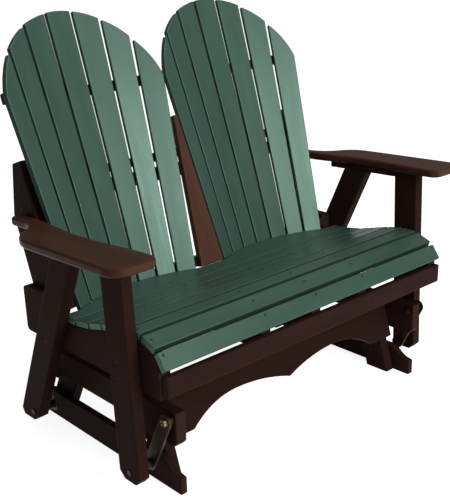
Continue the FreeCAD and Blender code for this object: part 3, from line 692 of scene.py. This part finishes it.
@dataclass
class Pivots:
    """Swing hardware: bolts with hexagon heads, washers, sleeves and lock nuts at both ends of the links.

    Pivots are given as depth and height, faces as distances from the glider's middle plane.
    """

    upper: tuple[Pair, ...] = ((-0.34057, 0.225), (0.25543, 0.225))
    lower: tuple[Pair, ...] = ((-0.26736, 0.0749), (0.20023, 0.06739))
    nut_face: float = 0.472
    rail_face: float = 0.506
    link_inner: float = 0.520
    link_outer: float = 0.526
    leg_inner: float = 0.557
    leg_outer: float = 0.591
    touch: float = 0.0001
    link_play: float = 0.0004
    shank_radius: float = 0.0059
    shank_round: float = 0.0005
    shank_reach: float = 0.001
    lower_shank_reach: float = 0.002
    sleeve_radius: float = 0.0128
    head_lift: float = 0.0003
    head_height: float = 0.006
    head_flats: float = 0.019
    washer_radius: float = 0.0108
    washer_share: float = 0.30
    washer_round: float = 0.06
    button_radius: float = 0.0084
    button_top: float = 0.0029
    button_round: float = 0.0016
    nut_flats: float = 0.0185
    upper_nut: float = 0.0068
    lower_nut: float = 0.0066
    nut_corner: float = 0.54
    nut_collar: float = 0.44
    collar_lip: float = 0.86
    bolt_end: float = 0.29
    bolt_end_start: float = 0.5
    bolt_end_round: float = 0.12
    spin: float = 11.0
    round_steps: int = 5
    steps: int = 48

    def disc(self, start: float, end: float, radius: float, round_edge: float) -> Surface:
        """A round drum between two stations, its rims rounded off by a quarter ellipse.

        Args:
            start: Lower station.
            end: Upper station.
            radius: Its radius.
            round_edge: Size of its rounded rims.

        Returns:
            The drum about Z.
        """
        quarter = np.radians(np.linspace(0.0, 90.0, self.round_steps))
        inset = radius - round_edge * (1.0 - np.sin(quarter))
        rise = round_edge * (1.0 - np.cos(quarter))
        radii = np.concatenate([inset, inset[::-1]])
        stations = np.concatenate([start + rise, (end - rise)[::-1]])
        return turned(np.outer(radii, np.ones(self.steps)), stations)

    def sleeve(self, start: float, end: float) -> Surface:
        """A spacer sleeve: rings at shares of its length, drawn in at its rims and at two grooves.

        Args:
            start: Lower station.
            end: Upper station.

        Returns:
            The sleeve about Z.
        """
        share = np.array([0.0, 0.0, 0.10, 0.13, 0.17, 0.20, 0.80, 0.83, 0.87, 0.90, 1.0, 1.0])
        size = np.array([0.90, 1.0, 1.0, 0.94, 0.94, 1.0, 1.0, 0.94, 0.94, 1.0, 1.0, 0.90])
        radii = np.outer(size * self.sleeve_radius, np.ones(self.steps))
        return turned(radii, start + share * (end - start))

    def head(self, start: float) -> Surface:
        """A hexagon head on its washer; its top corners are turned down to a low crown.

        Args:
            start: The face that it bears on.

        Returns:
            Washer and head about Z.
        """
        six = hexagon(self.head_flats, self.steps)
        corner, crown, middle = np.array([1.10, 0.97, 0.5]) * self.head_flats / 2.0
        flat_top = [np.full_like(six, crown), np.full_like(six, middle)]
        rings = np.stack([six, six, np.minimum(six, corner), *flat_top])
        level = np.array([0.28, 0.80, 0.88, 0.96, 1.0]) * self.head_height + start
        washer_top = start + self.head_height * self.washer_share
        washer = self.disc(start, washer_top, self.washer_radius, self.head_height * self.washer_round)
        return washer.joined(turned(rings, level))

    def nut(self, start: float, height: float) -> Surface:
        """A lock nut: a hexagon with a round collar, and the bolt's rounded end in it.

        Args:
            start: The face that it bears on.
            height: Its height with the bolt's end.

        Returns:
            Nut and bolt end about Z.
        """
        six = hexagon(self.nut_flats, self.steps)
        corner = np.minimum(six, self.nut_flats * self.nut_corner)
        collar = np.full(self.steps, self.nut_flats * self.nut_collar)
        level = np.array([0.0, 0.62, 0.70, 0.72, 0.92, 0.97]) * height + start
        rings = np.stack([six, six, corner, collar, collar, collar * self.collar_lip])
        end_start = start + height * self.bolt_end_start
        end_radius = self.nut_flats * self.bolt_end
        end = self.disc(end_start, start + height, end_radius, height * self.bolt_end_round)
        return turned(rings, level).joined(end)

    def shank(self, start: float, end: float) -> Surface:
        """A bolt's plain shank between two stations."""
        return self.disc(start, end, self.shank_radius, self.shank_round)

    def placed(self, shape: Surface, spots: Sequence[Pair], outward: bool = True) -> Surface:
        """One shape at each pivot on both sides.

        Args:
            shape: The shape about Z, its stations measured from the middle plane.
            spots: Depth and height of each pivot.
            outward: Whether its Z looks outwards; if not, its stations are negative.

        Returns:
            All copies as one surface.
        """
        frames = []
        for side in SIDES.values():
            way = Vector((side if outward else -side, 0.0, 0.0))
            places = [Vector((0.0, back, height)) for back, height in spots]
            frames += [aimed(place, way, self.spin * side) for place in places]
        return shape.repeated(np.array(frames))

    def upper_bolts(self, steel: bpy.types.Material) -> None:
        """Makes the bolts that hold the links on the base, which stand for one bolt node.

        Args:
            steel: Finish of all but the heads.
        """
        heads = self.placed(self.head(self.link_outer + self.head_lift), self.upper)
        shank = self.shank(self.nut_face - self.shank_reach, self.link_outer + self.shank_reach)
        sleeve = self.sleeve(self.rail_face + self.touch, self.link_inner - self.link_play)
        nut = self.nut(-self.nut_face + self.touch, self.upper_nut)
        heads.piece("upper_bolt_heads", "base", "hardware", BRASSED.material())
        dark = self.placed(shank, self.upper).joined(self.placed(sleeve, self.upper))
        dark = dark.joined(self.placed(nut, self.upper, False))
        upper = dark.piece("upper_bolt_set", "base", "hardware", steel)
        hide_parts("upper_pivot_bolts")

    def lower_bolts(self, steel: bpy.types.Material) -> None:
        """Makes the bolts that hold the seat's legs on the links, which stand for the other bolt node.

        Args:
            steel: Their finish.
        """
        button_start, button_end = self.leg_outer + self.touch, self.leg_outer + self.button_top
        button = self.disc(button_start, button_end, self.button_radius, self.button_round)
        shank = self.shank(self.link_inner - self.lower_shank_reach, self.leg_outer + self.shank_round)
        sleeve = self.sleeve(self.link_outer + self.link_play, self.leg_inner - self.touch)
        nut = self.nut(-self.link_inner + self.link_play, self.lower_nut)
        dark = self.placed(button, self.lower).joined(self.placed(shank, self.lower))
        dark = dark.joined(self.placed(sleeve, self.lower)).joined(self.placed(nut, self.lower, False))
        lower = dark.piece("lower_bolt_set", "seat", "hardware", steel)
        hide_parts("lower_pivot_bolts")

    def build(self) -> None:
        """Makes all bolts and coats the links."""
        steel = DARK_STEEL.material()
        self.upper_bolts(steel)
        self.lower_bolts(steel)
        for end in ("front", "rear"):
            for hand in SIDES:
                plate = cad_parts[f"{end}_link_{hand}"].data
                plate.materials.clear()
                plate.materials.append(BRONZE.material())


@dataclass
class Screws:
    """Screws that hold the slats, the seat's frame and the base; each row lists where lines meet a board.

    Spots are given as depth and height. The spins turn each screw's star, in degrees per slat or per metre.
    """

    stringers: tuple[float, ...] = (-0.540, -0.198, 0.0, 0.198, 0.540)
    seat_slats: int = 8
    last_slat_inset: float = 0.03
    slat_spin: float = 17.0
    apron_heights: Pair = (0.330, 0.362)
    apron_spin: float = 900.0
    leg_spots: tuple[EndSpot, ...] = (
        ("front", -0.248, 0.385),
        ("front", -0.249, 0.340),
        ("rear", 0.064, 0.360),
        ("rear", 0.088, 0.330),
    )
    leg_spin: float = 700.0
    post_spots: tuple[Pair, ...] = (
        (0.243, 0.728),
        (0.205, 0.740),
        (0.240, 0.665),
        (0.160, 0.475),
        (0.205, 0.475),
    )
    post_spin: float = 900.0
    fan_middle: float = 0.2785
    fan_step: float = 7.92
    fan_toe: float = 2.2
    fan_foot: Pair = (0.1127, 0.3987)
    fan_lean: float = 19.1
    slats_beside_middle: int = 3
    supports: tuple[EndSpot, ...] = (
        ("lower_support", 0.480, 0.008),
        ("middle_support", 0.552, 0.349),
        ("top_support", 0.600, 0.582),
    )
    support_spin: float = 800.0
    base_leg_spots: tuple[EndSpot, ...] = (
        ("front", -0.253, 0.030),
        ("front", -0.223, 0.060),
        ("front", -0.214, 0.190),
        ("front", -0.178, 0.220),
        ("rear", 0.259, 0.030),
        ("rear", 0.214, 0.060),
        ("rear", 0.174, 0.190),
        ("rear", 0.144, 0.220),
    )
    base_leg_spin: float = 600.0
    cross_ends: Pair = (-0.455, 0.455)
    scallop_heights: Pair = (0.143, 0.205)
    scallop_turn: float = 50.0
    rear_heights: Pair = (0.140, 0.168)
    rear_turn: float = 20.0
    screw: Screw = field(default_factory=Screw)

    def slat_frames(self) -> list[np.ndarray | None]:
        """One screw through each seat slat into each stringer, from above.

        Returns:
            The screws' frames.
        """
        frames = []
        for number in range(1, self.seat_slats + 1):
            probe = Probe(f"seat_slat_{number}")
            low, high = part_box(f"seat_slat_{number}")
            last = number == self.seat_slats
            back = low[1] + self.last_slat_inset if last else (low[1] + high[1]) / 2.0
            starts = [(across, back, 1.0) for across in self.stringers]
            frames += [probe.meet(start, (0, 0, -1), self.slat_spin * number) for start in starts]
        return frames

    def apron_frames(self) -> list[np.ndarray | None]:
        """Two screws through the apron into each stringer.

        Returns:
            The screws' frames.
        """
        probe = Probe("apron")
        starts = [(across, -1.0, height) for across in self.stringers for height in self.apron_heights]
        return [probe.meet(start, (0, 1, 0), self.apron_spin * start[0]) for start in starts]

    def side_frames(self) -> list[np.ndarray | None]:
        """Screws through the legs into the outer stringers, and through the posts into the back's boards.

        Returns:
            The screws' frames.
        """
        frames = []
        for hand, side in SIDES.items():
            inward = (-side, 0, 0)
            for end, back, height in self.leg_spots:
                leg = Probe(f"{end}_leg_{hand}")
                frames.append(leg.meet((side, back, height), inward, self.leg_spin * height))
            post = Probe(f"post_{hand}")
            for back, height in self.post_spots:
                frames.append(post.meet((side, back, height), inward, self.post_spin * back))
        return frames

    def support_frames(self) -> list[np.ndarray | None]:
        """One screw from behind through each support into each back slat.

        A slat's distance from its fan's middle is the support's radius times the sine of the slat's turn.

        Returns:
            The screws' frames.
        """
        frames = []
        places = np.arange(-self.slats_beside_middle, self.slats_beside_middle + 1)
        turns = np.radians(self.fan_step * places)
        toe, lean = math.radians(self.fan_toe), math.radians(self.fan_lean)
        forward = (0, -math.cos(lean), math.sin(lean))
        for hand, side in SIDES.items():
            for name, radius, climb in self.supports:
                probe = Probe(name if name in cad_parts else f"{name}_{hand}")
                shifts = radius * (np.sin(turns + side * toe) - side * math.sin(toe))
                back = self.fan_foot[0] + climb * math.sin(lean) + math.cos(lean)
                height = self.fan_foot[1] + climb * math.cos(lean) - math.sin(lean)
                starts = [(side * self.fan_middle + shift, back, height) for shift in shifts]
                frames += [probe.meet(start, forward, self.support_spin * start[0]) for start in starts]
        return frames

    def base_frames(self) -> list[np.ndarray | None]:
        """Screws through the base legs from inside, and through both cross boards' ends.

        Returns:
            The screws' frames.
        """
        frames = []
        for hand, side in SIDES.items():
            for end, back, height in self.base_leg_spots:
                leg = Probe(f"base_leg_{end}_{hand}")
                frames.append(leg.meet((0.0, back, height), (side, 0, 0), self.base_leg_spin * height))
        front_board, rear_board = Probe("scalloped_board"), Probe("rear_board")
        for across in self.cross_ends:
            for height in self.scallop_heights:
                frames.append(front_board.meet((across, -1.0, height), (0, 1, 0), self.scallop_turn))
            for height in self.rear_heights:
                frames.append(rear_board.meet((across, 1.0, height), (0, -1, 0), self.rear_turn))
        return frames

    def rows(self, name: str, body: str, finish: Metal, frames: list[np.ndarray | None]) -> None:
        """Puts the screws of one finish on one body into one piece.

        Args:
            name: The piece's name.
            body: The body that it rides on.
            finish: The screws' coat.
            frames: Where the screws stand; a line that misses its board gives none.
        """
        found = [spot for spot in frames if spot is not None]
        LOG.info("%s: %d of %d screws", name, len(found), len(frames))
        self.screw.head().repeated(np.array(found)).piece(name, body, "hardware", finish.material())

    def build(self) -> None:
        """Makes the green slat screws and the brown frame screws."""
        seat_frame = self.apron_frames() + self.side_frames() + self.support_frames()
        self.rows("slat_screws", "seat", GREEN_COAT, self.slat_frames())
        self.rows("frame_screws", "seat", BROWN_COAT, seat_frame)
        self.rows("base_screws", "base", BROWN_COAT, self.base_frames())


@dataclass(frozen=True)
class Lamp:
    """A square soft lamp: its place, the point that it looks at, its side in metres and power in watts."""

    name: str
    spot: Triple
    aim: Triple
    size: float
    power: float

    def light(self) -> None:
        """Puts the lamp into the scene."""
        data = bpy.data.lights.new(self.name, "AREA")
        data.size = self.size
        data.energy = self.power
        lamp = bpy.data.objects.new(self.name, data)
        lamp.location = self.spot
        lamp.rotation_euler = (Vector(self.aim) - Vector(self.spot)).to_track_quat("-Z", "Y").to_euler()
        bpy.context.scene.collection.objects.link(lamp)


@dataclass
class Studio:
    """Pale floor, soft light and the camera at the photograph's angle."""

    eye: Triple = (-1.706986, -1.891209, 1.344558)
    yaw: float = -41.976
    pitch: float = -20.931
    roll: float = -1.513
    focal_pixels: float = 888.959
    middle_pixel: Pair = (224.743, 279.845)
    image: tuple[int, int] = (450, 500)
    sensor: float = 24.0
    far_limit: float = 50.0
    floor_reach: float = 60.0
    floor_cells: int = 8
    floor_colour: Triple = (0.8, 0.8, 0.8)
    floor_glow: Triple = (0.87, 0.87, 0.87)
    floor_roughness: float = 0.9
    surround: float = 0.22
    lamps: tuple[Lamp, ...] = (
        Lamp("key", (0.25, -3.5, 1.95), (0.0, 0.0, 0.7), 1.5, 84.0),
        Lamp("top", (0.2, -1.1, 3.6), (0.0, 0.0, 0.5), 2.2, 58.0),
    )

    def camera(self) -> None:
        """Sets the camera by yaw about Z, pitch about its right, roll about its view and a shifted middle."""
        data = bpy.data.cameras.new("photo_camera")
        data.sensor_fit = "VERTICAL"
        data.sensor_height = self.sensor
        data.lens = self.focal_pixels * self.sensor / self.image[1]
        data.shift_x = (self.image[0] / 2 - self.middle_pixel[0]) / self.image[1]
        data.shift_y = (self.middle_pixel[1] - self.image[1] / 2) / self.image[1]
        data.clip_end = self.far_limit
        yaw, pitch, roll = (math.radians(angle) for angle in (self.yaw, self.pitch, self.roll))
        ahead = Vector((-math.sin(yaw) * math.cos(pitch), math.cos(yaw) * math.cos(pitch), math.sin(pitch)))
        right = ahead.cross(Vector((0, 0, 1))).normalized()
        upward = right.cross(ahead)
        level = math.cos(roll) * right + math.sin(roll) * upward
        upright = -math.sin(roll) * right + math.cos(roll) * upward
        camera = bpy.data.objects.new("photo_camera", data)
        turn = Matrix((level, upright, -ahead)).transposed().to_4x4()
        camera.matrix_world = Matrix.Translation(self.eye) @ turn
        bpy.context.scene.collection.objects.link(camera)
        bpy.context.scene.camera = camera

    def seen(self, graph: Graph) -> Shade:
        """Tells the rays that show the floor from those that light the object.

        Args:
            graph: The floor's graph.

        Returns:
            1 for a ray from the camera, from gloss or through glass, and 0 for any other.
        """
        camera, glossy, through = (
            graph.add("ShaderNodeLightPath", {}, {}, name)
            for name in ("Is Camera Ray", "Is Glossy Ray", "Is Transmission Ray")
        )
        return (camera + glossy + through).rise(0.0, 1.0)

    def floor(self) -> None:
        """A pale floor as a plain grid at the runners' soles, lifted to white for the rays that show it."""
        row_length = self.floor_cells + 1
        edge = np.linspace(-self.floor_reach, self.floor_reach, row_length)
        across, back = np.meshgrid(edge, edge)
        points = np.stack([across, back, np.zeros_like(across)], axis=2).reshape(-1, 3)
        cell = np.arange(self.floor_cells)
        first = cell[:, None] * row_length + cell
        behind = first + row_length
        faces = np.stack([first, first + 1, behind + 1, behind], axis=2).reshape(-1, 4)
        mesh = bpy.data.meshes.new("floor")
        mesh.from_pydata(points.tolist(), [], faces.tolist())
        graph = Graph("pale_floor")
        graph.surface(
            Base_Color=(*self.floor_colour, 1.0),
            Roughness=self.floor_roughness,
            Emission_Color=graph.mix(self.seen(graph), (0.0, 0.0, 0.0), self.floor_glow),
            Specular_IOR_Level=0.0,
            Emission_Strength=1.0,
        )
        mesh.materials.append(graph.material)
        floor = bpy.data.objects.new("floor", mesh)
        bpy.context.scene.collection.objects.link(floor)

    def world(self) -> None:
        """An even, dim white surround."""
        world = bpy.data.worlds.new("surround")
        world.use_nodes = True
        back = world.node_tree.nodes["Background"]
        back.inputs["Color"].default_value = (1.0, 1.0, 1.0, 1.0)
        back.inputs["Strength"].default_value = self.surround
        bpy.context.scene.world = world

    def build(self) -> None:
        """Sets light, floor and camera."""
        bpy.context.scene.view_settings.view_transform = "Standard"
        self.world()
        self.floor()
        for lamp in self.lamps:
            lamp.light()
        self.camera()


def main() -> None:
    """Builds the glider's looks in order."""
    logging.basicConfig(level=logging.INFO)
    Boards().dress()
    Pivots().build()
    Screws().build()
    Studio().build()


if __name__ == "__main__":
    main()
